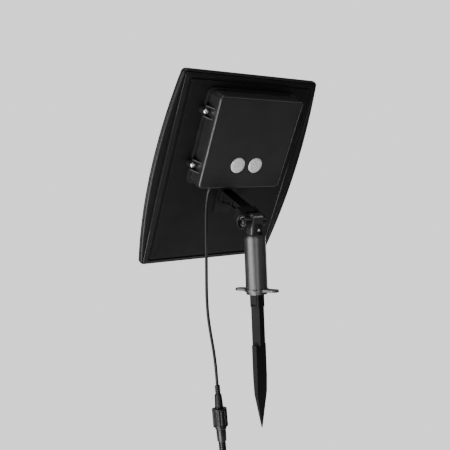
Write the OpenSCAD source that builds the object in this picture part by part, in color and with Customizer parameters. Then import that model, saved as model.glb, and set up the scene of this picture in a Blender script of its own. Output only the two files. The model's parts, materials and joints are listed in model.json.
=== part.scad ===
// Solar power stake for an outdoor light: a solar panel with a control and battery box on its back,
// a tilting arm, a post head that turns in a tube post, a screw-down flange, a ground spike, and the
// lead with its waterproof connectors. Millimetres. +Z is up along the post, and the origin is on the
// post's axis at the underside of the flange. The hinge runs along X and the panel's back faces -Y.

/* [Panel] */
// Width of the flat back plate
plate_w = 160; // [140:1:180]
// Height of the flat back plate
plate_h = 210; // [190:1:240]
// Width of the bevelled frame at the left and right of the plate
rim_side = 10; // [8:0.5:14]
// Height of the bevelled frame above and below the plate
rim_end = 8.5; // [7:0.5:12]
// How far the frame's sides bow outwards at mid height
side_bow = 10.5; // [4:0.5:14]
// Thickness of the whole panel
panel_t = 9.5; // [9:0.5:12]

/* [Control box] */
// Width of the box lid
box_w = 112; // [100:1:120]
// Height of the box lid
box_h = 104; // [96:1:110]
// How far the lid stands out from the back plate
box_t = 21.3; // [20:0.1:26]
// Height of the box's middle above the plate's middle
box_up = 44.7; // [40:0.1:50]
// Wall thickness of the box
wall = 2; // [1.5:0.1:3]
// Radius of each push button
button_r = 8.8; // [6:0.1:9.5]
// Distance from the box's centre line to each button
button_out = 12; // [11:0.5:16]
// Height of the buttons above the plate's middle
button_up = 21; // [16:0.5:26]
// Distance between the two lid screws of one side
tab_pitch = 60; // [50:1:70]

/* [Arm and hinge] */
// How far the panel leans back from upright at rest, in degrees
lean = 28.5; // [0:0.5:60]
// Distance from the plate to the hinge axis
arm_l = 59; // [54:1:70]
// Distance of the hinge below the plate's middle
hinge_down = 28; // [26:1:32]
// Height of the tongue's arch above the hinge, and radius of the boss beside it
ear_r = 8.7; // [8:0.1:9.5]
// Width of the tongue
tongue_w = 16; // [12:0.5:18]
// Radius of the hinge bolt
bolt_r = 2.5; // [2:0.1:3]

/* [Post] */
// Height of the hinge axis above the flange's underside
hinge_up = 77; // [70:1:120]
// Outer radius of the tube
tube_r = 12; // [11.5:0.1:14]
// Radius of the tube's bore
bore_r = 9.5; // [9.4:0.1:10]
// Height of the tube's top above the flange's underside
tube_top = 58.8; // [50:0.1:59]
// Distance from the post's axis to each ear's hole
ear_out = 22; // [20:0.5:26]
// Radius of each ear's hole
ear_hole_r = 2.2; // [1.5:0.1:3]
// Turn of the flange and spike about the post, in degrees
stake_turn = 15; // [0:1:45]

/* [Spike] */
// Depth of the spike's tip below the flange
spike_l = 151; // [120:1:200]
// Depth at which the blade starts
blade_top = 58.5; // [40:0.5:80]
// Width of the blade
blade_w = 18; // [14:0.5:24]
// Thickness of the blade
blade_t = 6; // [4:0.5:8]

/* [Lead] */
// Diameter of the lead
lead_d = 3.4; // [3:0.1:4]
// Mean radius of the coil of spare lead
coil_r = 19; // [17:0.5:21]
// Thickness of the coil's bundle of turns
coil_t = 14; // [12:0.5:16]

/* [Hidden] */
$fn = 48;
cut = 0.01;   // overshoot of a cut past the face that it opens
gap = 0.3;    // clearance between parts that don't touch

// panel: z = 0 is the back plate's outer face and the panel's front is at -panel_t
frame_w = plate_w + 2 * rim_side;
frame_h = plate_h + 2 * rim_end;
bow_r = (pow(frame_h / 2, 2) + pow(side_bow, 2)) / (2 * side_bow);
bevel = 3;           // depth from the plate's face to the frame's edge
part_line = 6;       // depth where the housing meets the bezel
skin = 3;            // thickness of the back plate
board_w = plate_w + 4;
board_h = plate_h + 2;
window_w = plate_w - 8;
window_h = plate_h - 10;
hook_x = 25.5;       // snap hooks, from the centre line
hook_y = plate_h / 2 + 2.2;
cell_cols = 2;
cell_rows = 6;
cell_gap = 1.2;
cell_w = (window_w - 4) / cell_cols - cell_gap;
cell_h = (window_h - 4) / cell_rows - cell_gap;
cell_z = -5.3;       // the cells' front faces
cell_t = 0.3;

// box
base_t = 3;
flange_out = 3.5;    // the base's flange beyond the lid
lid_z = base_t + 0.2;
tab_x = box_w / 2 + 4.3;
tab_z = 4.5;
tab_t = 2.3;
board_z = 9.4;
board_t = 1.6;
cell_r = 7.25;
cell_l = 50;
cell_pitch = 16;
gland_x = -33;
gland_z = 10;

// post and hinge
fork_in = tongue_w / 2 + 0.4;
fork_out = 14.5;
fork_right = 11.8;
cheek_r = 6.2;
boss_out = 18.5;
pocket_in = 15.8;
pocket_r = 6.2;
bolt_head_l = 2;
bolt_head_r = 4.2;
beam_half = 7.5;
web_half = 5.6;
nut_end = 12.4;
nut_h = 2.4;
tongue_d = 6;
recess_d = 3;
head_screw_x = 3.4;
tongue_gap = 0.8;
flange_t = 2.6;
collar_l = 3;
spigot_l = 22;
fit = 0.08;          // radial running clearance of the spigot

// spike's neck and the latch in its window
neck_w = 11.2;
neck_l = 17;
latch_w = 6.8;

// connectors: lengths along the connector from where the lead enters it
collar_r = 3.1;
plug_end = 42;
nut_at = 25.5;
nut_l = 19.5;
nut_r = 8.4;
thread_r = 6.6;
socket_at = 46;
socket_end = 74;

// the lead's route from the gland to the plug, which hangs a little off the vertical
lead_path = [[-33, 36.5, 112.4], [-33, 38.4, 108.4], [-33, 40.8, 101.6], [-33, 43, 91],
    [-33, 44.6, 76], [-33, 45.6, 58], [-33, 46.6, 38], [-33, 47.8, 18], [-33, 48.8, 0],
    [-33, 48.8, -14], [-33, 48, -28], [-33, 45.6, -42], [-33, 42.6, -55], [-33, 39.8, -67],
    [-33, 37.6, -80], [-33, 36.4, -92], [-33, 35.6, -104.7]];
plug_at = lead_path[len(lead_path) - 1];
plug_lean = 4.5;

// the second lead's route from the socket to the coil, and from the coil to the far plug
out_path = [[-33, 29.8, -178.6], [-33, 29.3, -183], [-33.3, 29, -188], [-34.8, 29, -192.4],
    [-37.2, 29, -195.2]];
coil_at = [-45, 29, -222];
tail_path = [[-69, 29, -236], [-69, 29, -239.5], [-69, 29, -243]];
far_at = tail_path[len(tail_path) - 1];

// ---- frames and shared shapes ----

// the panel's own frame: X across, Y up the panel, Z out of its back
module on_panel() {
    translate([0, 0, hinge_up])
        rotate([90 + lean, 0, 0])
            translate([0, hinge_down, -arm_l])
                children();
}

// the post's frame below the head, turned about the post
module on_stake() {
    rotate([0, 0, stake_turn])
        children();
}

// a connector's frame: Z points back up the lead that enters it
module on_plug() {
    translate(plug_at)
        rotate([-plug_lean, 0, 0])
            children();
}

// both sides of the X axis
module both_sides() {
    for (side = [0, 1])
        mirror([side, 0, 0])
            children();
}

// a rectangle with round corners
module round_rect(w, h, r) {
    square([w - 2 * r, h], center = true);
    square([w, h - 2 * r], center = true);
    for (x = [-1, 1], y = [-1, 1])
        translate([x * (w / 2 - r), y * (h / 2 - r)])
            circle(r);
}

// a slab from z0 to z1 of the outline given as a child
module slab(z0, z1) {
    translate([0, 0, z0])
        linear_extrude(z1 - z0)
            children();
}

// the panel's outline: straight ends and bowed sides
module frame_outline() {
    intersection() {
        square([2 * frame_w, frame_h], center = true);
        translate([bow_r - frame_w / 2 - side_bow, 0])
            circle(bow_r, $fn = 720);
        translate([frame_w / 2 + side_bow - bow_r, 0])
            circle(bow_r, $fn = 720);
    }
}

// section through the plate and its bevelled frame, in width and depth
module bevel_profile(top_w, base_w) {
    polygon([[-base_w / 2, -part_line + 1], [base_w / 2, -part_line + 1], [base_w / 2, -bevel],
        [top_w / 2, 0], [-top_w / 2, 0], [-base_w / 2, -bevel]]);
}

// ring of radii r0 and r1 from z0 to z1
module ring(r0, r1, z0, z1) {
    translate([0, 0, z0])
        difference() {
            cylinder(r = r1, h = z1 - z0);
            translate([0, 0, -cut])
                cylinder(r = r0, h = z1 - z0 + 2 * cut);
        }
}

// places of the small screws that come through the housing's skin from inside
inner_screw_places = [[-4.2, -22.5], [4.2, -22.5], [-4.2, -34], [4.2, -34],
    [-40, 2], [40, 2], [-40, 88], [40, 88]];
board_posts = [[-40, 2], [40, 2], [-40, 29], [40, 29]];
base_posts = [[-40, 88], [40, 88]];
wire_hole = [-42, 45];

// places of the lid screws
module at_tabs() {
    both_sides()
        for (s = [-1, 1])
            translate([tab_x, box_up + s * tab_pitch / 2, 0])
                children();
}

// ---- panel ----

module rear_housing() {
    color("#1d1d1f")
        on_panel()
            difference() {
                union() {
                    intersection() {
                        rotate([90, 0, 0])
                            linear_extrude(frame_h - 0.6, center = true)
                                bevel_profile(plate_w, frame_w - 0.6);
                        rotate([90, 0, 90])
                            linear_extrude(frame_w, center = true)
                                bevel_profile(plate_h, frame_h - 0.6);
                    }
                    slab(-part_line, -bevel) frame_outline();
                }
                slab(-part_line - cut, -skin) square([board_w + 1, board_h + 1], center = true);
                for (x = [-hook_x, hook_x], y = [-hook_y, hook_y])
                    translate([x, y, -part_line - cut])
                        linear_extrude(part_line + 1)
                            square([8, 2.2], center = true);
                for (p = inner_screw_places)
                    translate([p[0], p[1], -skin - cut])
                        cylinder(r = 1.5, h = skin + 1);
                translate([wire_hole[0], wire_hole[1], -skin - cut])
                    cylinder(r = 3.5, h = skin + 1);
            }
}

module front_bezel() {
    color("#1b1b1d")
        on_panel() {
            difference() {
                slab(-panel_t, -part_line) frame_outline();
                slab(-panel_t - cut, -part_line + cut)
                    square([window_w, window_h], center = true);
                slab(-panel_t + 2, -part_line + cut)
                    square([board_w + 0.6, board_h + 0.6], center = true);
            }
            for (x = [-hook_x, hook_x], y = [-hook_y, hook_y])
                translate([x, y, -part_line])
                    linear_extrude(part_line - 1.2)
                        square([6, 1.4], center = true);
        }
}

module edge_seal() {
    color("#303030")
        on_panel()
            slab(-skin - 1.2, -skin)
                difference() {
                    square([board_w, board_h], center = true);
                    square([board_w - 8, board_h - 8], center = true);
                }
}

module backing_board() {
    color("#e8e6df")
        on_panel()
            slab(cell_z + cell_t, -skin - 1.2) square([board_w, board_h], center = true);
}

module solar_cells() {
    color("#10182c")
        on_panel()
            for (i = [0 : cell_cols - 1], j = [0 : cell_rows - 1])
                translate([(i - (cell_cols - 1) / 2) * (cell_w + cell_gap),
                    (j - (cell_rows - 1) / 2) * (cell_h + cell_gap), cell_z])
                    linear_extrude(cell_t)
                        square([cell_w, cell_h], center = true);
}

// two flat ribbons down each column of cells
module busbar_ribbons() {
    color("#c9ccd0")
        on_panel()
            for (i = [0 : cell_cols - 1], s = [-1, 1])
                translate([(i - (cell_cols - 1) / 2) * (cell_w + cell_gap) + s * cell_w / 4,
                    0, cell_z - 0.2])
                    linear_extrude(0.2)
                        square([1.6, window_h - 6], center = true);
}

module cover_sheet() {
    color("#aebfca", 0.35)
        on_panel()
            slab(-panel_t + 2, cell_z - 0.2) square([board_w, board_h], center = true);
}

// ---- control box ----

module box_base() {
    color("#1e1e20")
        on_panel()
            difference() {
                union() {
                    translate([0, box_up, 0])
                        linear_extrude(base_t)
                            round_rect(box_w + 2 * flange_out, box_h + 4, 6);
                    at_tabs()
                        cylinder(r = 4.2, h = tab_z - 0.1);
                    for (p = board_posts)
                        translate([p[0], p[1], 0])
                            cylinder(r = 3, h = board_z);
                    for (p = base_posts)
                        translate([p[0], p[1], 0])
                            cylinder(r = 3, h = 8);
                }
                difference() {
                    translate([0, box_up, 1.6])
                        linear_extrude(base_t)
                            round_rect(box_w - 2 * wall, box_h - 2 * wall, 4);
                    for (p = concat(board_posts, base_posts))
                        translate([p[0], p[1], 0])
                            cylinder(r = 3, h = 10);
                }
                at_tabs()
                    translate([0, 0, 1])
                        cylinder(r = 1.45, h = tab_z);
                for (p = concat(board_posts, base_posts))
                    translate([p[0], p[1], -cut])
                        cylinder(r = 1.45, h = 7);
                translate([wire_hole[0], wire_hole[1], -cut])
                    cylinder(r = 3.5, h = 2);
            }
}

// screw tab of the lid with a sloping gusset at each side
module lid_tab() {
    translate([box_w / 2 - 0.5, -6.4, tab_z])
        cube([5.8, 12.8, tab_t]);
    translate([tab_x, 0, tab_z])
        cylinder(r = 4.2, h = tab_t);
    for (s = [-1, 1])
        translate([0, s * 5.8 + 0.6, 0])
            rotate([90, 0, 0])
                linear_extrude(1.2)
                    polygon([[box_w / 2 - 0.5, tab_z], [tab_x + 1, tab_z],
                        [tab_x + 1, tab_z + tab_t], [box_w / 2, tab_z + 11],
                        [box_w / 2 - 0.5, tab_z + 11]]);
}

module box_lid() {
    color("#202022")
        on_panel()
            difference() {
                union() {
                    translate([0, box_up, lid_z])
                        linear_extrude(box_t - lid_z)
                            round_rect(box_w, box_h, 5);
                    both_sides()
                        for (s = [-1, 1])
                            translate([0, box_up + s * tab_pitch / 2, 0])
                                lid_tab();
                }
                translate([0, box_up, lid_z - cut])
                    linear_extrude(box_t - lid_z - wall + cut)
                        round_rect(box_w - 2 * wall, box_h - 2 * wall, 3);
                at_tabs()
                    cylinder(r = 1.7, h = 12);
                for (s = [-1, 1])
                    translate([s * button_out, button_up, box_t - wall - 1])
                        cylinder(r = button_r + gap, h = wall + 2);
                translate([gland_x, box_up - box_h / 2 + wall + 1, gland_z])
                    rotate([90, 0, 0])
                        cylinder(r = 3.05, h = wall + 2);
            }
}

module lid_gasket() {
    color("#3a3a3a")
        on_panel()
            translate([0, box_up, base_t])
                linear_extrude(lid_z - base_t)
                    difference() {
                        round_rect(box_w - 0.4, box_h - 0.4, 4.8);
                        round_rect(box_w - 2 * wall, box_h - 2 * wall, 4);
                    }
}

module lid_screws() {
    color("silver")
        on_panel()
            at_tabs()
                translate([0, 0, tab_z + tab_t]) {
                    cylinder(r1 = 2.8, r2 = 2, h = 1.9);
                    translate([0, 0, -5.4])
                        cylinder(r = 1.4, h = 5.4);
                }
}

// push button cap with a shallow crown and a stem under it
module button_cap(side) {
    on_panel()
        translate([side * button_out, button_up, box_t - wall + 0.9]) {
            cylinder(r = button_r, h = 1.8);
            translate([0, 0, 1.8])
                cylinder(r1 = button_r, r2 = button_r - 1, h = 0.6);
            translate([0, 0, -3.8])
                cylinder(r = 3, h = 3.9);
        }
}

module power_button() {
    color("#b9b9b9")
        button_cap(-1);
}

module mode_button() {
    color("#b9b9b9")
        button_cap(1);
}

module button_web() {
    color("#8d8d8d")
        on_panel()
            difference() {
                translate([0, button_up, box_t - wall - 1.4])
                    linear_extrude(1.4)
                        round_rect(50, 24, 4);
                for (s = [-1, 1])
                    translate([s * button_out, button_up, 0])
                        cylinder(r = 4.5, h = box_t);
            }
}

module control_board() {
    color("darkgreen")
        on_panel()
            difference() {
                translate([0, 15.5, board_z])
                    linear_extrude(board_t)
                        square([92, 34], center = true);
                for (p = board_posts)
                    translate([p[0], p[1], 0])
                        cylinder(r = 1.2, h = 20);
            }
}

module board_components() {
    top = board_z + board_t;
    color("#26262b")
        on_panel() {
            translate([-30, 18, top])
                cube([9, 9, 1.4]);
            translate([-14, 2, top])
                cube([5, 6, 1.4]);
            translate([4, 1, top])
                cube([7, 7, 3.6]);
            translate([30, 22, top])
                cylinder(r = 3, h = 6);
            translate([30, 14, top])
                cylinder(r = 3, h = 6);
            translate([-26, 1, top])
                cube([8, 5, 5.5]);
            translate([16, 1, top])
                cube([8, 5, 5.5]);
        }
}

module tact_switches() {
    color("#4a4a4e")
        on_panel()
            for (s = [-1, 1])
                translate([s * button_out, button_up, board_z + board_t]) {
                    translate([-3, -3, 0])
                        cube([6, 6, 3.5]);
                    cylinder(r = 1.75, h = 4.5);
                }
}

battery_up = 63;     // the battery's middle above the plate's middle
battery_floor = 3.2;

module battery_holder() {
    color("#2a2a2e")
        on_panel()
            translate([0, battery_up, 1.6]) {
                slab(0, battery_floor - 1.6) square([62, 50], center = true);
                both_sides()
                    translate([28, -25, 0])
                        cube([2, 50, 13]);
                for (s = [-0.5, 0.5])
                    translate([-20, s * cell_pitch - 0.5, 0])
                        cube([40, 1, 6]);
            }
}

module battery_cells() {
    color("#3c6fa8")
        on_panel()
            for (i = [-1 : 1])
                translate([-cell_l / 2, battery_up + i * cell_pitch, battery_floor + cell_r + 0.1])
                    rotate([0, 90, 0]) {
                        cylinder(r = cell_r, h = cell_l);
                        translate([0, 0, cell_l])
                            cylinder(r = 2.6, h = 1);
                    }
}

module battery_contacts() {
    color("silver")
        on_panel()
            for (i = [-1 : 1])
                translate([0, battery_up + i * cell_pitch, battery_floor + cell_r + 0.1])
                    rotate([0, 90, 0]) {
                        translate([0, 0, cell_l / 2 + 1])
                            cylinder(r = 4, h = 2);
                        translate([0, 0, -cell_l / 2 - 3])
                            cylinder(r1 = 4, r2 = 2.6, h = 3);
                    }
}

// rubber strain relief: a flange inside the wall, a neck in its hole and a tapered boot outside
module cable_gland() {
    mouth = box_up - box_h / 2;
    color("#151515")
        on_panel()
            translate([gland_x, mouth, gland_z])
                rotate([90, 0, 0]) {
                    translate([0, 0, -wall - 1.5])
                        cylinder(r = 4.5, h = 1.5);
                    translate([0, 0, -wall])
                        cylinder(r = 3, h = wall);
                    cylinder(r1 = 4.2, r2 = 2.4, h = 6.8);
                }
}

// ---- tilt arm and hinge ----

// outline of the arm in the plane of its swing: x up the panel, y out of its back
module arm_outline() {
    low = -hinge_down - 1.5;
    high = -hinge_down + 7.8;
    polygon([[low - 8.5, 1], [low - 5.8, 7], [low - 2, 16], [low, 26], [low, 42], [high, 42], [high, 1]]);
}

// outline of the sunk panel in each side of the arm, from its root to a rib and on to the fork
module arm_pocket() {
    low = -hinge_down + 0.3;
    high = -hinge_down + 6;
    polygon([[low - 5.4, 6], [low - 1.7, 15], [low - 0.4, 22], [high, 22], [high, 6]]);
    polygon([[low - 0.2, 24], [low, 26], [low, 39], [high, 39], [high, 24]]);
}

// outline of a fork cheek from its root to the hinge
module fork_outline(top) {
    polygon([[-hinge_down - 5.5, 41], [-hinge_down - cheek_r, top], [-hinge_down + cheek_r, top],
        [-hinge_down + 7.9, 41]]);
}

module fork_cheek(x0, x1) {
    across(x0, x1) {
        fork_outline(arm_l);
        translate([-hinge_down, arm_l])
            circle(cheek_r);
    }
}

// an outline in the plane of the arm's swing, extruded across the panel from x0 to x1
module across(x0, x1) {
    translate([x0, 0, 0])
        rotate([90, 0, 90])
            linear_extrude(x1 - x0) children();
}

module arm_bracket() {
    block_top = arm_l - ear_r - tongue_gap;
    pad_top = box_up - box_h / 2 - 2 - gap;
    color("#1c1c1e")
        on_panel()
            difference() {
                union() {
                    translate([-12, -48, 0])
                        cube([24, pad_top + 48, 2]);
                    across(-beam_half, beam_half)
                        arm_outline();
                    across(-fork_out, fork_right)
                        fork_outline(block_top);
                    fork_cheek(-fork_out, -fork_in);
                    fork_cheek(fork_in, fork_right);
                    translate([-boss_out, -hinge_down, arm_l])
                        rotate([0, 90, 0])
                            cylinder(r = ear_r - 0.3, h = boss_out - fork_out + 0.7);
                }
                translate([-boss_out - 1, -hinge_down, arm_l])
                    rotate([0, 90, 0])
                        cylinder(r = bolt_r + 0.1, h = 2 * boss_out + 2);
                translate([-boss_out - 1, -hinge_down, arm_l])
                    rotate([0, 90, 0])
                        cylinder(r = pocket_r, h = boss_out + 1 - pocket_in + 0.8);
                translate([nut_end - nut_h - 0.6, -hinge_down, arm_l])
                    rotate([0, 90, 0])
                        cylinder(r = 4.9, h = 6, $fn = 6);
                both_sides()
                    across(web_half, beam_half + 0.5)
                        arm_pocket();
                for (i = [0 : 3])
                    translate([inner_screw_places[i][0], inner_screw_places[i][1], -cut])
                        cylinder(r = 1.45, h = 8);
            }
}

module bracket_screws() {
    color("silver")
        on_panel()
            for (p = inner_screw_places)
                translate([p[0], p[1], -skin]) {
                    translate([0, 0, -1])
                        cylinder(r = 2.6, h = 1);
                    cylinder(r = 1.4, h = skin + 6);
                }
}

module along_hinge(x0) {
    translate([x0, 0, hinge_up])
        rotate([0, 90, 0])
            children();
}

module hinge_bolt() {
    color("#8a8a8a") {
        along_hinge(-pocket_in)
            cylinder(r = bolt_r, h = pocket_in + nut_end);
        along_hinge(-pocket_in - bolt_head_l)
            cylinder(r = bolt_head_r, h = bolt_head_l);
    }
}

module hinge_nut() {
    color("silver")
        along_hinge(nut_end - nut_h)
            difference() {
                cylinder(r = 4.6, h = nut_h, $fn = 6);
                translate([0, 0, -cut])
                    cylinder(r = bolt_r + 0.05, h = 4);
            }
}

// one washer under the bolt's head and a smaller one under the nut
module hinge_washers() {
    color("silver") {
        along_hinge(-pocket_in)
            ring(bolt_r + 0.1, 5.4, 0, 0.8);
        along_hinge(nut_end - nut_h - 0.6)
            ring(bolt_r + 0.1, 3.9, 0, 0.6);
    }
}

// ---- post ----

module post_head() {
    recess_top = hinge_up - 3.8;
    arch_up = hinge_up + ear_r - tongue_d;
    shoulder = tube_top + gap;
    color("#232325")
        difference() {
            union() {
                translate([-tongue_w / 2, 0, arch_up])
                    rotate([0, 90, 0])
                        cylinder(r = tongue_d, h = tongue_w);
                translate([-tongue_w / 2, -tongue_d, shoulder])
                    cube([tongue_w, 2 * tongue_d, arch_up - shoulder]);
                translate([0, 0, shoulder])
                    cylinder(r = tube_r - 0.2, h = 1.2);
                translate([0, 0, tube_top - spigot_l])
                    cylinder(r = bore_r - fit, h = spigot_l + gap + 0.5);
            }
            along_hinge(-tongue_w)
                cylinder(r = bolt_r + 0.05, h = 2 * tongue_w);
            translate([-4, -tongue_d - 1, shoulder + 2])
                cube([9.8, recess_d + 1, recess_top - shoulder - 2]);
            translate([head_screw_x, -tongue_d + recess_d - 1, shoulder + 7])
                rotate([-90, 0, 0])
                    cylinder(r = 1.45, h = 9.5);
            translate([0, 0, tube_top - 16])
                ring(bore_r - 1.4, bore_r + 2, 0, 2.4);
        }
}

module head_screw() {
    color("silver")
        translate([head_screw_x, -tongue_d + recess_d, tube_top + gap + 7])
            rotate([-90, 0, 0]) {
                translate([0, 0, -2])
                    cylinder(r1 = 1.6, r2 = 2.2, h = 2);
                cylinder(r = 1.4, h = 8);
            }
}

module spigot_ring() {
    color("#111111")
        translate([0, 0, tube_top - 15.9])
            ring(bore_r - 1.3, bore_r - fit, 0, 2.2);
}

module post_tube() {
    color("#242426")
        on_stake()
            difference() {
                union() {
                    translate([0, 0, -collar_l])
                        cylinder(r = tube_r - 0.3, h = collar_l + 1);
                    cylinder(r = tube_r, h = tube_top);
                    cylinder(r = tube_r + 1.4, h = flange_t);
                    for (s = [-1, 1])
                        translate([0, s * ear_out, 0]) {
                            cylinder(r = 6, h = flange_t);
                            translate([-6, s > 0 ? -14 : 0, 0])
                                cube([12, 14, flange_t]);
                        }
                }
                translate([0, 0, -collar_l - cut])
                    cylinder(r = bore_r, h = tube_top + collar_l + 1);
                for (s = [-1, 1])
                    translate([0, s * ear_out, -cut])
                        cylinder(r = ear_hole_r, h = flange_t + 1);
            }
}

// outline of the blade from one side: straight to a depth, then tapering to the tip
module blade_profile(half, taper_at) {
    polygon([[-half, -blade_top], [half, -blade_top], [half, -taper_at],
        [0.4, -spike_l], [-0.4, -spike_l], [-half, -taper_at]]);
}

module ground_spike() {
    color("#1f1f21")
        on_stake()
            difference() {
                union() {
                    translate([0, 0, -collar_l])
                        cylinder(r = bore_r - 0.15, h = collar_l + 22);
                    translate([-neck_w / 2, -neck_w / 2, -neck_l])
                        cube([neck_w, neck_w, neck_l]);
                    translate([-4.5, -5.5, -blade_top - 1])
                        cube([9, 11, blade_top]);
                    intersection() {
                        rotate([90, 0, 0])
                            translate([0, 0, -blade_w])
                                linear_extrude(2 * blade_w)
                                    blade_profile(blade_w / 2, spike_l - 39);
                        rotate([90, 0, 90])
                            translate([0, 0, -blade_w])
                                linear_extrude(2 * blade_w)
                                    blade_profile(blade_t / 2, spike_l - 57);
                    }
                }
                translate([-neck_w / 2 - 1, -latch_w / 2 - 0.2, -neck_l + 1.2])
                    cube([3, latch_w + 0.4, neck_l - 4.8]);
            }
}

// springy tongue in the neck's window that locks the spike in the tube
module spike_latch() {
    color("#2b2b2d")
        on_stake()
            translate([-neck_w / 2 - 0.5, -latch_w / 2, -neck_l + 3])
                cube([2.4, latch_w, neck_l - 6.8]);
}

// ---- lead ----

function unit(v) = v / norm(v);
function heading(p, i) = unit(p[min(i + 1, len(p) - 1)] - p[max(i - 1, 0)]);

// a round tube of radius r along the route p, which never runs along X
module lead_tube(p, r, sides = 8) {
    rings = [for (i = [0 : len(p) - 1])
        let (t = heading(p, i), b = unit(cross([1, 0, 0], t)), a = cross(t, b))
            [for (k = [0 : sides - 1])
                p[i] + r * (cos(360 * k / sides) * a + sin(360 * k / sides) * b)]];
    polyhedron(
        points = [for (q = rings) each q],
        faces = concat(
            [[for (k = [0 : sides - 1]) sides - 1 - k]],
            [[for (k = [0 : sides - 1]) (len(p) - 1) * sides + k]],
            [for (i = [0 : len(p) - 2], k = [0 : sides - 1])
                let (n = (k + 1) % sides)
                    [i * sides + k, i * sides + n, (i + 1) * sides + n, (i + 1) * sides + k]]));
}

module panel_lead() {
    color("#161616")
        lead_tube(lead_path, lead_d / 2);
}

// one half of a connector up to its shoulder: a grooved collar and a body that widens
module plug_shape() {
    difference() {
        translate([0, 0, -10])
            cylinder(r = collar_r, h = 10);
        for (z = [-3.4, -6.6])
            translate([0, 0, z])
                ring(collar_r - 0.6, collar_r + 1, 0, 0.9);
    }
    translate([0, 0, -24])
        cylinder(r1 = 4.7, r2 = 3.9, h = 14);
    translate([0, 0, -30])
        cylinder(r = 4.7, h = 6.5);
    translate([0, 0, -32.5])
        cylinder(r = 6.3, h = 2.5);
    translate([0, 0, -plug_end])
        cylinder(r = 4.2, h = 10);
}

module pin_pair() {
    for (s = [-1, 1])
        translate([s * 1.8, 0, -plug_end - 5])
            cylinder(r = 0.8, h = 5);
}

// fluted coupling nut with an inward lip at its top
module nut_shape() {
    difference() {
        translate([0, 0, -nut_at - nut_l])
            cylinder(r = nut_r, h = nut_l);
        translate([0, 0, -nut_at - nut_l - cut])
            cylinder(r = thread_r + gap, h = nut_l - 4);
        translate([0, 0, -nut_at - 5])
            cylinder(r = 5, h = 6);
        for (k = [0 : 11])
            rotate([0, 0, 30 * k])
                translate([nut_r + 0.9, 0, -nut_at - nut_l + 1.5])
                    cylinder(r = 1.6, h = nut_l - 3);
    }
}

module plug_body() {
    color("#1a1a1a")
        on_plug()
            plug_shape();
}

module plug_pins() {
    color("goldenrod")
        on_plug()
            pin_pair();
}

module coupling_nut() {
    color("#1c1c1c")
        on_plug()
            nut_shape();
}

module connector_seal() {
    color("#7a2f28")
        on_plug()
            ring(4.3, 6, -34.5, -32.5);
}

module socket_body() {
    color("#1a1a1a")
        on_plug()
            difference() {
                union() {
                    translate([0, 0, -socket_at])
                        cylinder(r = thread_r, h = socket_at - 34.7);
                    translate([0, 0, -socket_at - 2])
                        cylinder(r = 6.4, h = 2.2);
                    translate([0, 0, -61.5])
                        cylinder(r1 = 5.1, r2 = 5.7, h = 14);
                    translate([0, 0, -socket_end])
                        cylinder(r = 4.1, h = 13);
                }
                translate([0, 0, -50])
                    cylinder(r = 4.5, h = 20);
                for (z = [-65.5, -69])
                    translate([0, 0, z])
                        ring(3.4, 5, 0, 1);
            }
}

module extension_lead() {
    color("#161616") {
        lead_tube(out_path, lead_d / 2);
        lead_tube(tail_path, lead_d / 2);
    }
}

module extension_coil() {
    color("#181818")
        translate(coil_at)
            rotate([90, 0, 0])
                rotate_extrude()
                    translate([coil_r, 0])
                        square(coil_t, center = true);
}

module coil_tie() {
    tie = coil_t + 1.6;
    color("#0f0f0f")
        translate(coil_at + [0, 0, coil_r])
            difference() {
                cube([7, tie + 2, tie + 2], center = true);
                cube([8, tie, tie], center = true);
            }
}

module far_plug() {
    color("#1a1a1a")
        translate(far_at)
            plug_shape();
}

module far_plug_pins() {
    color("goldenrod")
        translate(far_at)
            pin_pair();
}

module far_nut() {
    color("#1c1c1c")
        translate(far_at)
            nut_shape();
}

rear_housing();
front_bezel();
edge_seal();
backing_board();
solar_cells();
busbar_ribbons();
cover_sheet();
box_base();
box_lid();
lid_gasket();
lid_screws();
power_button();
mode_button();
button_web();
control_board();
board_components();
tact_switches();
battery_holder();
battery_cells();
battery_contacts();
cable_gland();
arm_bracket();
bracket_screws();
hinge_bolt();
hinge_nut();
hinge_washers();
post_head();
head_screw();
spigot_ring();
post_tube();
ground_spike();
spike_latch();
panel_lead();
plug_body();
plug_pins();
coupling_nut();
connector_seal();
socket_body();
extension_lead();
extension_coil();
coil_tie();
far_plug();
far_plug_pins();
far_nut();
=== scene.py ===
"""Looks for the solar light stake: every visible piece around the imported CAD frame.

Shapes are written in millimetres and turned into metres by MM. The panel's own frame has u across
the panel, v up it and n out of its back, like the CAD's.
"""

import json
from math import cos, pi, radians, sin

import bmesh
import bpy
from mathutils import Matrix, Vector


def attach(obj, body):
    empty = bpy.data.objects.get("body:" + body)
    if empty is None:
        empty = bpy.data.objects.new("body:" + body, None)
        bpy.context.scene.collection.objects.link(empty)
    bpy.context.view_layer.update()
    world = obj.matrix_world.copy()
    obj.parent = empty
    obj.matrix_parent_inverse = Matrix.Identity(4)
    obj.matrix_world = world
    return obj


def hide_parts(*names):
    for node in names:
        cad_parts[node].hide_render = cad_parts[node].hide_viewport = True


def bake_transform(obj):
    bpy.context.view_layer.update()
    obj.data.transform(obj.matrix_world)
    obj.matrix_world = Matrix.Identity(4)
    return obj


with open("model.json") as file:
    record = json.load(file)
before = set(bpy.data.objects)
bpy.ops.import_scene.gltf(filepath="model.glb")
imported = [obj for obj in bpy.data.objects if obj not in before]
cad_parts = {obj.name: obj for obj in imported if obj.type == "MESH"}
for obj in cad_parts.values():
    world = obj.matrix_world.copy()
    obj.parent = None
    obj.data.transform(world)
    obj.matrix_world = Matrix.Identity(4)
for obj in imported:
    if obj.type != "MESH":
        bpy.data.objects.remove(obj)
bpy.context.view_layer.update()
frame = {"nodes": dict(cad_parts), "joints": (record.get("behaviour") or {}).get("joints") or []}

MM = 0.001
JOINTS = {j["name"]: j for j in frame["joints"]}

# ---- frames ----

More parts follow.
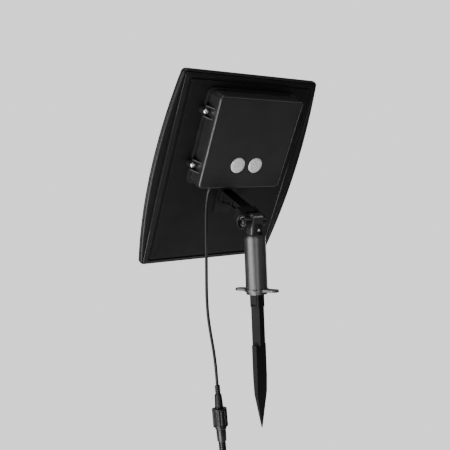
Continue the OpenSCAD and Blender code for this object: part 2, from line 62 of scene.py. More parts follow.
LEAN = 28.5                    # how far the panel leans back, degrees
HINGE_OUT = 59                 # plate to hinge
HINGE_DOWN = 28                # hinge below the plate's middle
BOX_OUT = 21.3                 # plate to the lid's face
BOX_MID = 44.7                 # middle of the box above the plate's middle
TONGUE_SIDE = 8                # middle of the hinge to the side of the post head's tongue
HINGE_UP = 77                  # ground line to hinge
BOSS_OUT = 18.5                # middle of the hinge to the face of the arm's boss
BOLT_SEAT = 15.8               # middle of the hinge to the underside of the bolt's head
ARCH_FROM = 59                 # the post head's arch is taken from this height up
HOLE_REACH = 4.5               # edges nearer the hinge's axis than this belong to the bolt's hole
RIM_U, RIM_V = 45, 44          # only the lid's outer edge is farther from the box's middle
HINGE = Vector(JOINTS["panel_tilt"]["pos_m"])
PLUG_LEAN = 4.5                # the connector hangs this far off the vertical, degrees
FAR_PLUG = Vector(JOINTS["far_nut_turn"]["pos_m"])
PLUG = Vector(JOINTS["coupling_nut_turn"]["pos_m"])

ON_PANEL = (Matrix.Translation(HINGE) @ Matrix.Rotation(radians(90 + LEAN), 4, "X")
            @ Matrix.Translation(Vector((0, HINGE_DOWN, -HINGE_OUT)) * MM))
ON_PLUG = Matrix.Translation(PLUG) @ Matrix.Rotation(radians(-PLUG_LEAN), 4, "X")
ON_FAR_PLUG = Matrix.Translation(FAR_PLUG)
ON_HINGE = Matrix.Translation(HINGE) @ Matrix.Rotation(radians(90), 4, "Y")


def to_panel(u, v, n):
    """A point of the panel's frame as one that turns with ON_PANEL."""
    return ON_PANEL @ Matrix.Translation(Vector((u, v, n)) * MM)


# ---- camera ----

def add_camera():
    camera = bpy.data.objects.new("camera", bpy.data.cameras.new("camera"))
    bpy.context.collection.objects.link(camera)
    camera.data.lens = 52
    camera.location = (-0.4432, -0.5519, 0.1000)
    camera.rotation_euler = [radians(a) for a in (87.863, 2.295, -36.269)]
    bpy.context.scene.camera = camera


add_camera()

# ---- mesh helpers ----


def new_object(name, verts, faces, matrix=Matrix.Identity(4), smooth=35):
    """A mesh from points in millimetres in the frame that matrix gives."""
    mesh = bpy.data.meshes.new(name)
    mesh.from_pydata([matrix @ (Vector(v) * MM) for v in verts], [], faces)
    mesh.validate()
    obj = bpy.data.objects.new(name, mesh)
    bpy.context.collection.objects.link(obj)
    tidy_normals(obj, smooth)
    return obj


def tidy_normals(obj, smooth):
    bm = bmesh.new()
    bm.from_mesh(obj.data)
    bmesh.ops.recalc_face_normals(bm, faces=bm.faces)
    for face in bm.faces:
        face.smooth = True
    for edge in bm.edges:
        edge.smooth = len(edge.link_faces) < 2 or edge.calc_face_angle(0) < radians(smooth)
    bm.to_mesh(obj.data)
    bm.free()


def loft(rings, closed=False):
    """Faces through rings of equal length; closed joins the last ring to the first."""
    count = len(rings[0])
    verts = [p for ring in rings for p in ring]
    faces = []
    last = len(rings) if closed else len(rings) - 1
    for i in range(last):
        a, b = i * count, (i + 1) % len(rings) * count
        for k in range(count):
            n = (k + 1) % count
            faces.append((a + k, a + n, b + n, b + k))
    if not closed:
        faces.append(tuple(range(count))[::-1])
        faces.append(tuple(range(len(verts) - count, len(verts))))
    return verts, faces


def lathe(profile, sides=64, closed=False):
    """A solid of revolution about z from (radius, z) points."""
    rings = [[(max(r, 0.01) * cos(2 * pi * k / sides), max(r, 0.01) * sin(2 * pi * k / sides), z)
              for k in range(sides)] for r, z in profile]
    return loft(rings, closed)


def box(low, high):
    (x0, y0, z0), (x1, y1, z1) = low, high
    ring = [(x0, y0), (x1, y0), (x1, y1), (x0, y1)]
    return loft([[(x, y, z) for x, y in ring] for z in (z0, z1)])


def applied(obj):
    """Bakes obj's modifiers into its mesh."""
    depsgraph = bpy.context.evaluated_depsgraph_get()
    mesh = bpy.data.meshes.new_from_object(obj.evaluated_get(depsgraph))
    obj.modifiers.clear()
    obj.data = mesh
    return obj


def weighted(obj):
    """Keeps large faces flat between their rounded edges."""
    modifier = obj.modifiers.new("weighted", "WEIGHTED_NORMAL")
    modifier.keep_sharp = True
    return applied(obj)


def cut(obj, cutter):
    modifier = obj.modifiers.new("cut", "BOOLEAN")
    modifier.operation = "DIFFERENCE"
    modifier.solver = "EXACT"
    modifier.object = cutter
    applied(obj)
    bpy.data.objects.remove(cutter)
    return obj


def rounded(obj, width):
    """Rounds obj's sharp edges by width millimetres."""
    modifier = obj.modifiers.new("round", "BEVEL")
    modifier.width = width * MM
    modifier.segments = 2
    modifier.limit_method = "ANGLE"
    modifier.angle_limit = radians(30)
    modifier.harden_normals = False
    applied(obj)
    tidy_normals(obj, 35)
    return weighted(obj)


def softened(node, width):
    """A copy of a CAD node with its sharp edges rounded, which stands for that node. The edges
    that BROAD names for it are rounded further, before the rest."""
    source = frame["nodes"][node]
    obj = bpy.data.objects.new(node + "_shape", source.data.copy())
    obj.data.transform(source.matrix_world)
    bpy.context.collection.objects.link(obj)
    bm = bmesh.new()
    bm.from_mesh(obj.data)
    bmesh.ops.remove_doubles(bm, verts=bm.verts, dist=0.005 * MM)
    bmesh.ops.dissolve_limit(bm, angle_limit=radians(1), verts=bm.verts, edges=bm.edges)
    if node in BROAD:
        inside, broad = BROAD[node]
        edges = [edge for edge in bm.edges if len(edge.link_faces) == 2
                 and edge.calc_face_angle(0) > 1 and all(inside(v.co / MM) for v in edge.verts)]
        bmesh.ops.bevel(bm, geom=edges, offset=broad * MM, offset_type="OFFSET", segments=4,
                        profile=0.5, affect="EDGES", clamp_overlap=False)
    bm.to_mesh(obj.data)
    bm.free()
    obj.data.materials.clear()
    rounded(obj, width)
    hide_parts(node)
    return obj


def near(a, b):
    return abs(a - b) < 0.05


def on_lid_rim(point):
    """On the outer edge of the lid's face, not at a button's hole."""
    u, v, n = ON_PANEL.inverted() @ (point * MM) / MM
    return near(n, BOX_OUT) and (abs(u) > RIM_U or abs(v - BOX_MID) > RIM_V)


def on_arch(point):
    """On the outline of the post head's left side, not at the bolt's hole."""
    from_bolt = abs(point.y) + abs(point.z - HINGE_UP)
    return near(point.x, -TONGUE_SIDE) and point.z > ARCH_FROM and from_bolt > HOLE_REACH


def on_boss(point):
    """On the two circles of the boss's face."""
    return near(point.x, -BOSS_OUT)


def joined(name, parts):
    """One object from several."""
    bm = bmesh.new()
    for part in parts:
        bm.from_mesh(part.data)
    mesh = bpy.data.meshes.new(name)
    bm.to_mesh(mesh)
    bm.free()
    for part in parts:
        bpy.data.objects.remove(part)
    obj = bpy.data.objects.new(name, mesh)
    bpy.context.collection.objects.link(obj)
    return obj


def tube(name, path, radius, sides=16):
    """A round tube with flat ends, along points in metres."""
    points = [Vector(p) for p in path]
    tangents = []
    for i in range(len(points)):
        ahead = points[min(i + 1, len(points) - 1)]
        behind = points[max(i - 1, 0)]
        tangents.append((ahead - behind).normalized())
    side = tangents[0].orthogonal().normalized()
    rings = []
    for point, tangent in zip(points, tangents):
        side = (side - tangent * side.dot(tangent)).normalized()
        up = tangent.cross(side)
        rings.append([(point + (side * cos(2 * pi * k / sides) + up * sin(2 * pi * k / sides))
                       * radius) / MM for k in range(sides)])
    verts, faces = loft(rings)
    return new_object(name, verts, faces, smooth=60)


def smooth_path(points, step=0.002):
    """Points every step or so on a curve through the given ones."""
    p = [Vector(q) for q in points]
    p = [p[0] * 2 - p[1]] + p + [p[-1] * 2 - p[-2]]
    out = []
    for a, b, c, d in zip(p, p[1:], p[2:], p[3:]):
        count = max(2, round((c - b).length / step))
        for k in range(count):
            t = k / count
            out.append(0.5 * (2 * b + (c - a) * t + (2 * a - 5 * b + 4 * c - d) * t ** 2
                              + (3 * b - a - 3 * c + d) * t ** 3))
    return out + [p[-2]]


# ---- materials ----

class Shader:
    """A principled material and short calls for the nodes behind it."""

    def __init__(self, name, color, roughness, **sockets):
        self.material = bpy.data.materials.new(name)
        self.material.use_nodes = True
        self.nodes = self.material.node_tree.nodes
        self.links = self.material.node_tree.links
        self.bsdf = self.nodes["Principled BSDF"]
        self.bsdf.inputs["Base Color"].default_value = (*color, 1)
        self.bsdf.inputs["Roughness"].default_value = roughness
        for socket, value in sockets.items():
            self.bsdf.inputs[socket.replace("_", " ")].default_value = value
        self.coords = self.nodes.new("ShaderNodeTexCoord").outputs["Object"]

    def noise(self, scale, detail=3, stretch=(1, 1, 1), roughness=0.6):
        mapping = self.nodes.new("ShaderNodeMapping")
        mapping.inputs["Scale"].default_value = stretch
        self.links.new(self.coords, mapping.inputs["Vector"])
        noise = self.nodes.new("ShaderNodeTexNoise")
        noise.inputs["Scale"].default_value = scale
        noise.inputs["Detail"].default_value = detail
        noise.inputs["Roughness"].default_value = roughness
        self.links.new(mapping.outputs["Vector"], noise.inputs["Vector"])
        return noise.outputs["Fac"]

    def ramp(self, factor, low, high, start, end):
        ramp = self.nodes.new("ShaderNodeValToRGB")
        ramp.color_ramp.elements[0].position = start
        ramp.color_ramp.elements[1].position = end
        ramp.color_ramp.elements[0].color = (*low, 1)
        ramp.color_ramp.elements[1].color = (*high, 1)
        self.links.new(factor, ramp.inputs["Fac"])
        return ramp.outputs["Color"]

    def tint(self, factor, low, high, start=0.35, end=0.65):
        self.links.new(self.ramp(factor, low, high, start, end), self.bsdf.inputs["Base Color"])

    def roughen(self, factor, low, high):
        span = self.nodes.new("ShaderNodeMapRange")
        span.inputs["To Min"].default_value = low
        span.inputs["To Max"].default_value = high
        self.links.new(factor, span.inputs["Value"])
        self.links.new(span.outputs["Result"], self.bsdf.inputs["Roughness"])

    def bump(self, factor, depth, strength=1.0):
        bump = self.nodes.new("ShaderNodeBump")
        bump.inputs["Strength"].default_value = strength
        bump.inputs["Distance"].default_value = depth * MM
        self.links.new(factor, bump.inputs["Height"])
        previous = self.bsdf.inputs["Normal"].links
        if previous:
            self.links.new(previous[0].from_socket, bump.inputs["Normal"])
        self.links.new(bump.outputs["Normal"], self.bsdf.inputs["Normal"])


def moulded(name, tone, roughness=0.45, grain=1400, depth=0.03, mottle=0.25, **sockets):
    """Black or grey moulded plastic: a fine spark-eroded grain and faint uneven gloss."""
    sockets.setdefault("Specular_IOR_Level", 0.3)
    shader = Shader(name, (tone, tone, tone * 1.02), roughness, **sockets)
    cloud = shader.noise(60, 4)
    low = [tone * (1 - mottle)] * 3
    high = [tone * (1 + mottle)] * 3
    shader.tint(cloud, low, high, 0.3, 0.7)
    shader.roughen(shader.noise(400, 5), roughness - 0.07, roughness + 0.07)
    shader.bump(shader.noise(grain, 2), depth)
    shader.bump(shader.noise(90, 2), 0.04, 0.5)
    return shader.material


def metal(name, color, roughness):
    shader = Shader(name, color, roughness, Metallic=1.0)
    scratches = shader.noise(900, 4, (1, 6, 1))
    shader.tint(scratches, [c * 0.75 for c in color], color, 0.3, 0.6)
    shader.roughen(scratches, roughness - 0.08, roughness + 0.12)
    shader.bump(scratches, 0.01)
    return shader.material


def speckled(name, tone):
    """Grey silicone with a frosted, speckled skin."""
    shader = Shader(name, (tone, tone, tone), 0.6)
    grain = shader.noise(900, 3, roughness=0.8)
    shader.tint(grain, [tone * 0.5] * 3, [tone * 1.6] * 3, 0.38, 0.62)
    shader.bump(shader.noise(1200, 3), 0.06)
    return shader.material


def cell_silicon(name):
    """Dark blue silicon with fine silver fingers across it."""
    shader = Shader(name, (0.006, 0.01, 0.03), 0.25)
    wave = shader.nodes.new("ShaderNodeTexWave")
    wave.bands_direction = "X"
    wave.inputs["Scale"].default_value = 160
    shader.links.new(shader.coords, wave.inputs["Vector"])
    shader.tint(wave.outputs["Fac"], (0.006, 0.01, 0.03), (0.12, 0.13, 0.15), 0.9, 0.97)
    shader.roughen(shader.noise(30, 2), 0.2, 0.35)
    return shader.material


def clear_sheet(name):
    """Clear embossed laminate over the cells: dark and thin, so that it adds gloss only."""
    shader = Shader(name, (0.01, 0.012, 0.016), 0.12, Alpha=0.25, IOR=1.5)
    shader.bump(shader.noise(700, 2), 0.02, 0.4)
    shader.roughen(shader.noise(50, 3), 0.08, 0.18)
    return shader.material


def green_board(name):
    shader = Shader(name, (0.01, 0.09, 0.035), 0.35)
    shader.tint(shader.noise(220, 5), (0.008, 0.07, 0.03), (0.02, 0.13, 0.05), 0.45, 0.55)
    shader.bump(shader.noise(220, 5), 0.02)
    return shader.material


def colored(name, color, roughness, scale=300, spread=0.25):
    """A plain colour with a faint mottle and grain."""
    shader = Shader(name, color, roughness)
    shader.tint(shader.noise(scale, 4), [c * (1 - spread) for c in color],
                [min(1, c * (1 + spread)) for c in color])
    shader.roughen(shader.noise(scale, 3), roughness - 0.05, roughness + 0.08)
    shader.bump(shader.noise(scale * 3, 2), 0.02)
    return shader.material


HOUSING = moulded("housing_plastic", 0.004, 0.4, Specular_IOR_Level=0.17)
LID = moulded("lid_plastic", 0.006, 0.38, Specular_IOR_Level=0.34)
TUBE = moulded("tube_plastic", 0.012, 0.34, depth=0.01, Specular_IOR_Level=1.0)
POST = moulded("post_plastic", 0.007, 0.34, depth=0.01, Specular_IOR_Level=0.75)
ARM = moulded("arm_plastic", 0.004, 0.36, Specular_IOR_Level=0.22)
SPIKE = moulded("spike_plastic", 0.004, 0.42, Specular_IOR_Level=0.14)
RUBBER = moulded("lead_rubber", 0.005, 0.36, grain=900, depth=0.004, Specular_IOR_Level=0.24)
SEAL = moulded("seal_rubber", 0.03, 0.8)
FOAM = moulded("foam", 0.035, 0.95, grain=2500, depth=0.1)
TIE = moulded("tie_plastic", 0.01, 0.35)
CHIPS = moulded("chip_plastic", 0.02, 0.5)
WEB = moulded("web_rubber", 0.25, 0.65)
STEEL = metal("zinc_steel", (0.72, 0.72, 0.72), 0.25)
BLACK_STEEL = metal("blackened_steel", (0.035, 0.035, 0.035), 0.45)
BRASS = metal("pin_brass", (0.8, 0.6, 0.28), 0.25)
TIN = metal("tinned_ribbon", (0.75, 0.76, 0.78), 0.35)
BUTTON = speckled("button_silicone", 0.31)
CELLS = cell_silicon("silicon")
COVER = clear_sheet("laminate")
BOARD = green_board("solder_mask")
WHITE = colored("white_board", (0.8, 0.8, 0.77), 0.6)
SLEEVE = colored("battery_sleeve", (0.03, 0.12, 0.35), 0.3)
RED = colored("red_seal", (0.35, 0.05, 0.03), 0.6)


def finish(obj, body, material):
    """Gives a new piece its body and its one material."""
    obj.data.materials.clear()
    obj.data.materials.append(material)
    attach(obj, body)
    return obj


def paint(node, material):
    """Gives a CAD node that stays a better material."""
    for slot in frame["nodes"][node].material_slots:
        slot.material = material


# ---- cords ----

LEAD_R = 1.7 * MM
LEAD_X = -33                   # the lead hangs in this plane
# the hanging lead's (y, z) from the gland down to the plug
ROUTE = [(36.5, 112.4), (38.4, 108.4), (40.8, 101.6), (43, 91), (44.6, 76), (45.6, 58), (46.6, 38),
         (47.8, 18), (48.8, 0), (48.8, -14), (48, -28), (45.6, -42), (42.6, -55), (39.8, -67),
         (37.6, -80), (36.4, -92), (35.6, -104.7)]
COIL_Y = 29 * MM
COIL_AT = Vector((-45, 29, -222)) * MM
COIL_R = 19 * MM               # to the middle of the bundle
COIL_ROWS = 4                  # the bundle is this many turns wide and deep
TURN_PITCH = 3.45 * MM
ROW_CHANGE = 0.8               # the part of a turn after which the cord moves to the next row


def coil_path(steps=36):
    """The second lead: down from the socket, into the tied coil, round it, and down to the plug."""
    rows = [(r if y % 2 == 0 else COIL_ROWS - 1 - r, y)
            for y in range(COIL_ROWS) for r in range(COIL_ROWS)]
    middle = (COIL_ROWS - 1) / 2
    outer = COIL_R + middle * TURN_PITCH
    entry = 12 * MM
    turn_y = COIL_AT.y - middle * TURN_PITCH
    points = [Vector((LEAD_X, 29.8, -178.6)) * MM, Vector((LEAD_X, 29.2, -182)) * MM]
    corner = Vector((COIL_AT.x, 0, COIL_AT.z + outer + entry))
    for k in range(9):
        a = pi / 2 * k / 8
        y = COIL_Y + (turn_y - COIL_Y) * (1 - cos(pi * k / 8)) / 2
        points.append(Vector((corner.x + entry * cos(a), y, corner.z - entry * sin(a))))
    turns = len(rows) - 0.75
    for k in range(1, round(turns * steps)):
        turn = k / steps
        here, part = int(turn), turn % 1
        there = min(here + 1, len(rows) - 1)
        t = min(1, max(0, (part - ROW_CHANGE) / (1 - ROW_CHANGE)))
        t = t * t * (3 - 2 * t)
        row = [rows[here][i] * (1 - t) + rows[there][i] * t for i in (0, 1)]
        r = outer - row[0] * TURN_PITCH
        a = pi / 2 + 2 * pi * turn
        points.append(Vector((COIL_AT.x + r * cos(a), turn_y + row[1] * TURN_PITCH,
                              COIL_AT.z + r * sin(a))))
    end_y = turn_y + (COIL_ROWS - 1) * TURN_PITCH
    for k in range(1, 9):
        t = k / 8
        y = end_y + (FAR_PLUG.y - end_y) * t * t * (3 - 2 * t)
        z = COIL_AT.z + (FAR_PLUG.z - COIL_AT.z) * t
        x = COIL_AT.x - outer + (FAR_PLUG.x - COIL_AT.x + outer) * t
        points.append(Vector((x, y, z)))
    return points


lead_path = smooth_path([Vector((LEAD_X, y, z)) * MM for y, z in ROUTE])
second_path = coil_path()
lead = tube("panel_lead_cord", lead_path, LEAD_R)
second = tube("extension_cord", second_path, LEAD_R, 12)
for cord in (lead, second):
    cord.data.materials.append(RUBBER)
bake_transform(lead)
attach(second, "head")
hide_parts("panel_lead")
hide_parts("extension_lead", "extension_coil")

# ---- panel ----

BOW = 10.5                     # how far the long sides bow out at their middle


def frame_ring(w, h, bow, n, corner=0.8, side_steps=28, end_steps=8, corner_steps=6):
    """A loop round the panel: straight ends, sides that bow out by bow, and round corners."""
    side = []
    for k in range(side_steps + 1):
        v = (h - corner) * (2 * k / side_steps - 1)
        side.append((w + bow * (1 - (v / h) ** 2), v))
    reach = side[-1][0] - corner
    turns = [pi / 2 * k / corner_steps for k in range(1, corner_steps + 1)]
    arc = [(reach + corner * cos(a), h - corner + corner * sin(a)) for a in turns]
    end = [(reach * (1 - 2 * k / end_steps), h) for k in range(1, end_steps)]
    half = side + arc + end + [(-x, v) for x, v in reversed(arc)]
    return [(x, v, n) for x, v in half] + [(-x, -v, n) for x, v in half]


def rear_housing():
    """The plate, a groove, the flat band, a second groove, the bowed rim, its edge and the inside.
    Each ring gives its half width and half height at the corners, its bow, its level and its
    corner radius."""
    plate = [(20, 20, 0, 0, 1), (79.6, 104.6, 0, 0, 1), (80, 105, 0, -0.2, 1.2)]
    inner_groove = [(80.3, 105.3, 0, -1.9, 1.4), (82.9, 107.2, 0, -1.9, 1.6)]
    band = [(83.4, 107.5, 0.2, -0.8, 1.8), (83.9, 107.9, 0.3, -0.6, 2), (88, 111, 1.1, -1.5, 2.4),
            (88.3, 111.2, 1.2, -1.8, 2.5)]
    outer_groove = [(88.4, 111.3, 1.4, -3.2, 2.6), (88.7, 111.6, 2.7, -3.2, 2.8)]
    rim = [(88.8, 111.8, 3.3, -2.75, 3), (88.9, 112, 3.7, -2.6, 3.2), (89.1, 112.5, 8.6, -2.8, 4)]
    edge = [(89.3, 112.8, 9.4, -3, 4.3), (89.6, 113.1, 10.1, -3.5, 4.6),
            (89.9, 113.4, 10.4, -4.2, 4.9), (90, 113.5, BOW, -5, 5), (90, 113.5, BOW, -5.6, 5),
            (89.7, 113.2, BOW, -5.95, 4.8)]
    inside = [(83, 107, 0, -5.95, 2), (83, 107, 0, -3.4, 2), (20, 20, 0, -3.4, 1)]
    rings = plate + inner_groove + band + outer_groove + rim + edge + inside
    verts, faces = loft([frame_ring(*ring) for ring in rings])
    obj = weighted(new_object("rear_housing_shell", verts, faces, ON_PANEL, smooth=28))
    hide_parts("rear_housing")
    return finish(obj, "panel", HOUSING)


def front_bezel():
    """The outer wall, the front's rounded edge, and the opening over the cells."""
    rings = [(82.3, 106.3, 0, -6.1, 2), (89.6, 113.1, BOW, -6.05, 4.8),
             (90, 113.5, BOW, -6.4, 5), (90, 113.5, BOW, -8.4, 5),
             (89.7, 113.2, BOW - 0.2, -9.1, 4.8), (89, 112.5, BOW - 0.5, -9.5, 4.5),
             (77, 101, 0, -9.5), (76.4, 100.4, 0, -9.3), (76, 100, 0, -8.9),
             (76, 100, 0, -7.55), (82.3, 106.3, 0, -7.55, 2)]
    verts, faces = loft([frame_ring(*ring) for ring in rings], closed=True)
    obj = weighted(new_object("front_bezel_frame", verts, faces, ON_PANEL, smooth=25))
    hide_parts("front_bezel")
    return finish(obj, "panel", HOUSING)


# ---- control box ----

TAB_X, TAB_PITCH = 60.3, 60    # the lid's screws: to the side, and apart up the panel
TAB_N = 6.8                    # plate to the underside of a screw's head
BUTTON_X, BUTTON_V, BUTTON_R = 12, 21, 8.8
GLAND_V = BOX_MID - 52         # the lid's lower wall
GLAND_N = 10                   # plate to the lead's middle
GLAND_L = 6.8


def button(side, body):
    """A silicone cap with a rolled edge and a shallow crown, on its stem."""
    r = BUTTON_R
    profile = [(0, -4.6), (2.7, -4.6), (3, -4.3), (3, -0.9), (r - 0.5, -0.9), (r, -0.6),
               (r, 0.7), (r - 0.15, 1.15), (r - 0.55, 1.45), (r - 1.2, 1.62), (r - 3, 1.75),
               (r - 6, 1.85), (0, 1.9)]
    verts, faces = lathe(profile, 72)
    matrix = to_panel(side * BUTTON_X, BUTTON_V, BOX_OUT)
    obj = new_object(body + "_cap", verts, faces, matrix, smooth=40)
    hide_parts(body)
    return finish(obj, body, BUTTON)


def pan_head(name, matrix, radius, height, shaft_r, shaft_l, hexagon=False):
    """A screw with a domed head, a cross or hexagon recess and a plain shaft. z points out of
    the head."""
    profile = [(0, -shaft_l), (shaft_r, -shaft_l), (shaft_r, 0), (radius * 0.95, 0), (radius, 0.2)]
    for k in range(1, 7):
        a = pi / 2 * k / 6
        profile.append((radius * (0.45 + 0.55 * cos(a)), 0.2 + (height - 0.2) * sin(a)))
    profile.append((0, height))
    obj = new_object(name, *lathe(profile, 32), matrix)
    if hexagon:
        ring = [(radius * 0.5 * cos(pi / 3 * k), radius * 0.5 * sin(pi / 3 * k)) for k in range(6)]
        recess = [loft([[(x, y, z) for x, y in ring] for z in (height * 0.35, height + 1)])]
    else:
        w = radius * 0.13
        reach = radius * 0.55
        recess = [box((-reach, -w, height * 0.35), (reach, w, height + 1)),
                  box((-w, -reach, height * 0.35), (w, reach, height + 1))]
    for k, (verts, faces) in enumerate(recess):
        cut(obj, new_object(name + "_recess", verts, faces, matrix))
    tidy_normals(obj, 35)
    return obj


def lid_screws():
    heads = []
    for x in (-1, 1):
        for s in (-1, 1):
            seat = to_panel(x * TAB_X, BOX_MID + s * TAB_PITCH / 2, TAB_N)
            heads.append(pan_head("lid_screw", seat, radius=2.9, height=1.9, shaft_r=1.4,
                                  shaft_l=5.3))
    obj = joined("lid_screw_set", heads)
    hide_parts("lid_screws")
    return finish(obj, "panel", STEEL)


def gland():
    """Tapered strain relief with three grooves, its flange inside the lid's wall."""
    profile = [(0, -3.5), (4.5, -3.5), (4.5, -2.05), (3, -2), (3, -0.05), (4.1, 0), (4.3, 0.3)]
    for z in (1.6, 3.2, 4.8):
        r = 4.3 - 0.28 * z
        profile += [(r, z - 0.35), (r - 0.45, z - 0.3), (r - 0.45, z + 0.3), (r - 0.05, z + 0.35)]
    profile += [(2.5, 6.5), (2.3, GLAND_L), (0, GLAND_L)]
    matrix = to_panel(LEAD_X, GLAND_V, GLAND_N) @ Matrix.Rotation(radians(90), 4, "X")
    obj = new_object("cable_gland_boot", *lathe(profile, 32), matrix)
    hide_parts("cable_gland")
    return finish(obj, "panel", RUBBER)


# ---- post ----

def hinge_bolt():
    matrix = ON_HINGE @ Matrix.Translation((0, 0, -BOLT_SEAT * MM)) @ Matrix.Rotation(pi, 4, "X")
    obj = pan_head("hinge_bolt_shape", matrix, radius=4.1, height=2.2, shaft_r=2.5, shaft_l=28.1,
                   hexagon=True)
    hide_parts("hinge_bolt")
    return finish(obj, "panel", BLACK_STEEL)


def head_screw():
    """The screw in the recess on the post head's front."""
    seat = Vector((3.4, -3.1, 66.1)) * MM
    matrix = Matrix.Translation(seat) @ Matrix.Rotation(pi / 2, 4, "X")
    obj = pan_head("head_screw_shape", matrix, radius=2.1, height=1.5, shaft_r=1.4, shaft_l=7.2)
    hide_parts("head_screw")
    return finish(obj, "head", STEEL)


# ---- connectors ----

SOCKET_TIP = -74               # the socket's lower end, from the plug's upper end


def plug(name, node, matrix):
    """Grooved collar, a body that widens, the shoulder and the nose."""
    profile = [(0, 0), (2.6, 0), (3.1, -0.4)]
    for z in (-2, -4, -6, -8):
        profile += [(3.1, z + 0.5), (2.5, z + 0.35), (2.5, z - 0.35), (3.1, z - 0.5)]
    profile += [(3.1, -9.6), (3.9, -10.2), (4.2, -14), (4.65, -22), (4.7, -24), (4.7, -29.9),
                (6.1, -30), (6.3, -30.2), (6.3, -32.3), (6.1, -32.5), (4.2, -32.5),
                (4.2, -41.6), (3.8, -42), (0, -42)]
    obj = new_object(name, *lathe(profile, 40), matrix, smooth=40)
    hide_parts(node)
    return finish(obj, "head", RUBBER)


def socket():
    """Threaded mouth inside the nut, a chamfered rim, the ribbed body and a grooved collar."""
    profile = [(4.5, -50), (4.5, -34.7), (6.2, -34.7)]
    for k in range(7):
        z = -35.4 - 1.5 * k
        profile += [(6.2, z), (6.6, z - 0.5), (6.6, z - 0.8), (6.2, z - 1.2)]
    profile += [(6.2, -45.8), (6.4, -46), (6.4, -47.4), (5.9, -48.1), (5.6, -48.4), (5.15, -61),
                (4.9, -61.5), (4.1, -61.7)]
    for z in (-63.5, -65.5, -67.5, -69.5, -71.5):
        profile += [(4.1, z + 0.5), (3.5, z + 0.35), (3.5, z - 0.35), (4.1, z - 0.5)]
    profile += [(4.1, -73.5), (3.7, SOCKET_TIP), (0, SOCKET_TIP), (0, -50)]
    obj = new_object("socket_shape", *lathe(profile, 40, closed=True), ON_PLUG, smooth=40)
    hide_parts("socket_body")
    return finish(obj, "head", RUBBER)


def coil_tie():
    """A flat strap round the bundle with a small clasp on its outside."""
    half, corner, width = 7.4, 2.5, 3.2

    def loop(grow):
        out = []
        for q in range(4):
            a0 = pi / 2 * q
            cx = (half - corner) * (1 if q in (0, 3) else -1)
            cy = (half - corner) * (1 if q in (0, 1) else -1)
            for k in range(5):
                a = a0 + pi / 2 * k / 4
                out.append((cx + (corner + grow) * cos(a), cy + (corner + grow) * sin(a)))
        return out

    section = [(0, -width), (0, width), (0.2, width + 0.2), (0.9, width + 0.2), (1, width),
               (1, -width), (0.9, -width - 0.2), (0.2, -width - 0.2)]
    rings = [[(x, y, z) for x, y in loop(grow)] for grow, z in section]
    matrix = (Matrix.Translation(COIL_AT + Vector((0, 0, COIL_R)))
              @ Matrix.Rotation(pi / 2, 4, "Y"))
    strap = new_object("strap", *loft(rings, closed=True), matrix)
    clasp = new_object("clasp", *box((-2.6, -half - 1.5, -3.4), (2.6, -half - 0.9, 3.4)), matrix)
    clasp = rounded(clasp, 0.2)
    obj = joined("coil_tie_strap", [strap, clasp])
    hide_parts("coil_tie")
    return finish(obj, "head", TIE)


# edges to round further than the rest: a test for them and the width
BROAD = {"box_lid": (on_lid_rim, 2.4), "post_head": (on_arch, 3.2), "arm_bracket": (on_boss, 0.8)}


def build():
    rear_housing()
    front_bezel()
    button(-1, "power_button")
    button(1, "mode_button")
    lid_screws()
    gland()
    hinge_bolt()
    head_screw()
    coil_tie()
    for node, width, body, slot, material in (
            ("box_base", 0.35, "panel", "box", LID), ("box_lid", 0.4, "panel", "box", LID),
            ("arm_bracket", 0.5, "panel", "box", ARM), ("post_head", 0.45, "head", "post", POST),
            ("post_tube", 0.4, "stake", "tube", TUBE), ("ground_spike", 0.4, "stake", "spike", SPIKE),
            ("spike_latch", 0.3, "stake", "spike", SPIKE), ("hinge_nut", 0.25, "panel", "steel", STEEL),
            ("coupling_nut", 0.3, "coupling_nut", "lead", RUBBER),
            ("far_nut", 0.3, "far_nut", "lead", RUBBER)):
        finish(softened(node, width), body, material)
    plug("plug_shape", "plug_body", ON_PLUG)
    plug("far_plug_shape", "far_plug", ON_FAR_PLUG)
    socket()
    for node, material in (
            ("edge_seal", FOAM), ("backing_board", WHITE), ("solar_cells", CELLS),
            ("busbar_ribbons", TIN), ("cover_sheet", COVER), ("lid_gasket", SEAL), ("button_web", WEB),
            ("control_board", BOARD), ("board_components", CHIPS), ("tact_switches", CHIPS),
            ("battery_holder", LID), ("battery_cells", SLEEVE), ("battery_contacts", STEEL),
            ("bracket_screws", STEEL), ("hinge_washers", STEEL), ("spigot_ring", SEAL),
            ("plug_pins", BRASS), ("far_plug_pins", BRASS), ("connector_seal", RED)):
        paint(node, material)


build()

# ---- floor and light ----

FLOOR_Z = -1.1
FLOOR_R = 2.2
FLOOR_SIDES = 64
WORLD_LIGHT = 0.1              # how strongly the world lights the object
WORLD_SEEN = 1.35              # how bright the camera sees it


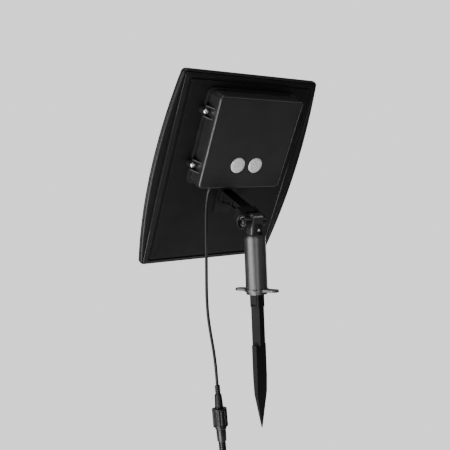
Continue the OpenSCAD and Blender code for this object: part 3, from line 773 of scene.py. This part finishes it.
def add_floor():
    turns = [2 * pi * k / FLOOR_SIDES for k in range(FLOOR_SIDES)]
    rim = [(FLOOR_R * cos(a), FLOOR_R * sin(a), FLOOR_Z) for a in turns]
    mesh = bpy.data.meshes.new("floor")
    mesh.from_pydata(rim, [], [tuple(range(FLOOR_SIDES))])
    floor = bpy.data.objects.new("floor", mesh)
    bpy.context.collection.objects.link(floor)
    paint_coat = colored("floor_paint", (0.85, 0.85, 0.85), 0.9, scale=3, spread=0.01)
    floor.data.materials.append(paint_coat)


def area_light(name, at, target, size, power, tall=None):
    """A rectangular light at a point in metres that faces target; power is in watts."""
    light = bpy.data.lights.new(name, "AREA")
    light.shape = "RECTANGLE"
    light.size = size
    light.size_y = tall or size
    light.energy = power
    obj = bpy.data.objects.new(name, light)
    obj.location = at
    obj.rotation_euler = (Vector(target) - Vector(at)).to_track_quat("-Z", "Y").to_euler()
    bpy.context.collection.objects.link(obj)


def add_lights():
    world = bpy.data.worlds.new("studio")
    bpy.context.scene.world = world
    world.use_nodes = True
    nodes, links = world.node_tree.nodes, world.node_tree.links
    background = nodes["Background"]
    background.inputs["Color"].default_value = (1, 1, 1, 1)
    seen = nodes.new("ShaderNodeLightPath")
    strength = nodes.new("ShaderNodeMapRange")
    strength.inputs["To Min"].default_value = WORLD_LIGHT
    strength.inputs["To Max"].default_value = WORLD_SEEN
    links.new(seen.outputs["Is Camera Ray"], strength.inputs["Value"])
    links.new(strength.outputs["Result"], background.inputs["Strength"])
    middle = (0, 0, 0.05)
    area_light("key", (-1.7, 0.1, 0.3), middle, 1.5, 36, tall=1.4)
    area_light("front", (-0.7, -1.55, 0.1), middle, 0.5, 5, tall=1.2)
    area_light("side", (1.7, 0.7, 0.2), middle, 0.3, 5, tall=1.5)
    area_light("rim", (-1.1, -0.35, -0.85), middle, 0.8, 50)
    area_light("edge", (1.0, -1.2, 0.7), middle, 0.4, 4)
    area_light("back", (0.5, 1.7, 1.3), middle, 1.0, 20)
    area_light("top", (-0.3, -0.5, 2.2), middle, 1.6, 30)


add_floor()
add_lights()
